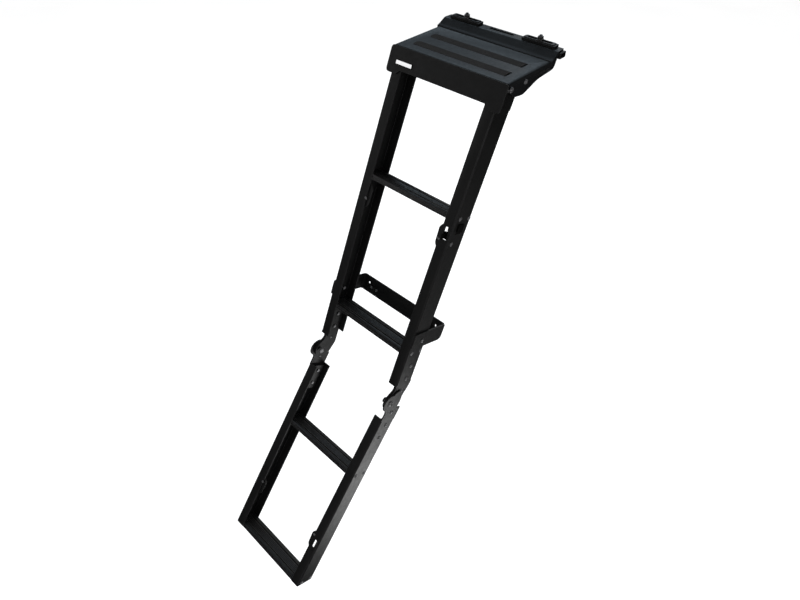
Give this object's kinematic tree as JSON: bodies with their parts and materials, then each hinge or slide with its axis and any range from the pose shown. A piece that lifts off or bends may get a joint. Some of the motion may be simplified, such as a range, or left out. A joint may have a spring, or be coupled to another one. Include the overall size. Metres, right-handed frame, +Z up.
{
  "type": "folding tailgate step",
  "caption": "Folding ladder step that hangs from a clamped deck at the rear edge of a truck tailgate, with a hinged lower half and a standoff bar.",
  "frame": {"origin": "middle of the flat underside of the mounting rail, where it lies on the open tailgate", "axes": "+Z up, -Y towards the person climbing, X across the ladder; right is +X"},
  "size_m": [0.2594, 0.7483, 1.0473],
  "materials": {
    "coated_frame": "semi-matt black powder coat",
    "coated_deck": "semi-matt black powder coat, slightly smoother",
    "tread_metal": "black coated ribbed extrusion",
    "grip_rubber": "matt gritty grip strip",
    "bumper_rubber": "matt moulded rubber",
    "latch_plastic": "matt moulded black",
    "fastener_metal": "black zinc plated steel",
    "badge_face": "blank satin silver label plate"
  },
  "bodies": {
    "deck_and_upper_ladder": {"mount_rail": "coated_frame", "deck": "coated_deck", "grip_strip_rear": "grip_rubber", "grip_strip_front": "grip_rubber", "front_plate": "coated_frame", "badge": "badge_face", "rear_brace": "coated_frame", "rung_1": "tread_metal", "rung_2": "tread_metal", "deck_bolt_front_left": "fastener_metal", "deck_bolt_front_right": "fastener_metal", "deck_bolt_rear_left": "fastener_metal", "deck_bolt_rear_right": "fastener_metal", "deck_spacer_front_left": "fastener_metal", "deck_spacer_front_right": "fastener_metal", "deck_spacer_rear_left": "fastener_metal", "deck_spacer_rear_right": "fastener_metal", "upper_rail_left": "coated_frame", "upper_rail_right": "coated_frame", "upper_hinge_plate_left": "coated_frame", "upper_hinge_plate_right": "coated_frame", "hinge_pivot_left": "fastener_metal", "hinge_pivot_right": "fastener_metal", "upper_stop_pin_left": "fastener_metal", "upper_stop_pin_right": "fastener_metal", "upper_hinge_rivet_a_left": "fastener_metal", "upper_hinge_rivet_a_right": "fastener_metal", "upper_hinge_rivet_b_left": "fastener_metal", "upper_hinge_rivet_b_right": "fastener_metal", "upper_stow_tab_left": "coated_frame", "upper_stow_tab_right": "coated_frame", "standoff_pivot_left": "fastener_metal", "standoff_pivot_right": "fastener_metal"},
    "lower_ladder": {"rung_3": "tread_metal", "rung_4": "tread_metal", "lower_rail_left": "coated_frame", "lower_rail_right": "coated_frame", "lower_hinge_plate_left": "coated_frame", "lower_hinge_plate_right": "coated_frame", "lower_stop_pin_left": "fastener_metal", "lower_stop_pin_right": "fastener_metal", "lower_hinge_rivet_a_left": "fastener_metal", "lower_hinge_rivet_a_right": "fastener_metal", "lower_hinge_rivet_b_left": "fastener_metal", "lower_hinge_rivet_b_right": "fastener_metal", "lower_stow_tab_left": "coated_frame", "lower_stow_tab_right": "coated_frame"},
    "standoff": {"standoff_bracket": "coated_frame", "standoff_bumper_left": "bumper_rubber", "standoff_bumper_right": "bumper_rubber"},
    "latch": {"latch_slide": "latch_plastic"},
    "clamp_left": {"clamp_plate_left": "coated_frame", "clamp_bolt_left": "fastener_metal"},
    "clamp_right": {"clamp_plate_right": "coated_frame", "clamp_bolt_right": "fastener_metal"}
  },
  "joints": [
    {"name": "fold", "type": "hinge", "parent": "deck_and_upper_ladder", "child": "lower_ladder", "pos_m": [0, -0.42405, -0.59699], "axis": [-1, 0, 0], "range_deg": [0, 165.34]},
    {"name": "standoff_pivot", "type": "hinge", "parent": "deck_and_upper_ladder", "child": "standoff", "pos_m": [0, -0.33269, -0.46984], "axis": [1, 0, 0], "range_deg": [0, 50]},
    {"name": "latch_slide", "type": "slide", "parent": "deck_and_upper_ladder", "child": "latch", "axis": [0, -0.4112, -0.9115], "range_m": [0, 0.004]},
    {"name": "clamp_slide_left", "type": "slide", "parent": "deck_and_upper_ladder", "child": "clamp_left", "axis": [1, 0, 0], "range_m": [-0.012, 0.012]},
    {"name": "clamp_slide_right", "type": "slide", "parent": "deck_and_upper_ladder", "child": "clamp_right", "axis": [1, 0, 0], "range_m": [-0.012, 0.012]}
  ]
}
